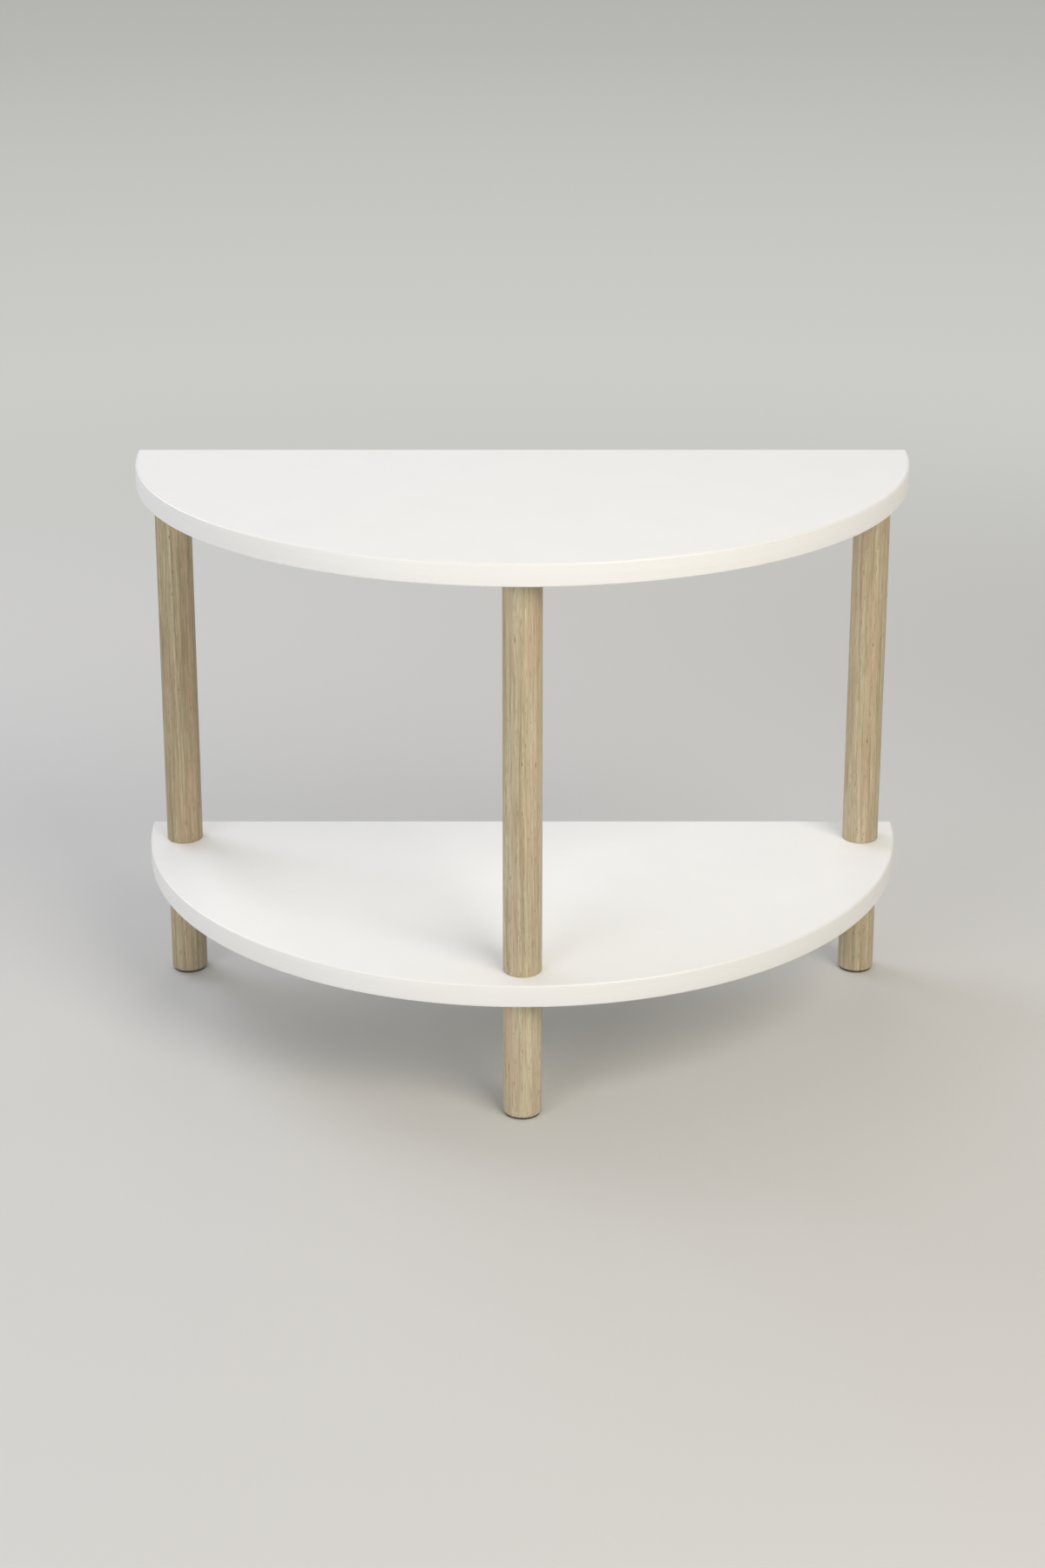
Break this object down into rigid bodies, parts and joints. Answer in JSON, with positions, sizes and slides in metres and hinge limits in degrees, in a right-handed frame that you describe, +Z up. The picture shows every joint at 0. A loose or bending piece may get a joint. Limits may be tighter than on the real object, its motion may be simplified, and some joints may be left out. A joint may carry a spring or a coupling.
{
  "type": "half-round side table",
  "caption": "Half-round side table: a white semicircular top and matching lower shelf on round pale wood legs, straight edge to the wall, with an open bay between.",
  "frame": {"origin": "on the floor, under the middle of the table's bounding box", "axes": "+X along the straight edge to the right of someone facing the curved front, +Y from the curved front to the straight wall edge, +Z up"},
  "size_m": [0.64, 0.3199, 0.455],
  "materials": {
    "white_board": "satin white melamine over particleboard",
    "white_edging": "satin white ABS edge banding",
    "ash_leg": "clear matt lacquer on turned pale hardwood",
    "zinc_steel": "zinc-plated steel, threaded at both ends",
    "insert_steel": "zinc alloy insert nut, hexagon drive",
    "grey_felt": "pressed wool felt"
  },
  "bodies": {
    "root": {"top_board": "white_board", "shelf_board": "white_board", "top_front_edging": "white_edging", "top_rear_edging": "white_edging", "shelf_front_edging": "white_edging", "shelf_rear_edging": "white_edging", "upper_leg_left": "ash_leg", "upper_leg_right": "ash_leg", "upper_leg_front": "ash_leg", "lower_leg_left": "ash_leg", "lower_leg_right": "ash_leg", "lower_leg_front": "ash_leg", "top_bolt_left": "zinc_steel", "top_bolt_right": "zinc_steel", "top_bolt_front": "zinc_steel", "shelf_bolt_left": "zinc_steel", "shelf_bolt_right": "zinc_steel", "shelf_bolt_front": "zinc_steel", "top_insert_left": "insert_steel", "top_insert_right": "insert_steel", "top_insert_front": "insert_steel", "leg_insert_left": "insert_steel", "leg_insert_right": "insert_steel", "leg_insert_front": "insert_steel", "foot_pad_left": "grey_felt", "foot_pad_right": "grey_felt", "foot_pad_front": "grey_felt"}
  },
  "joints": []
}
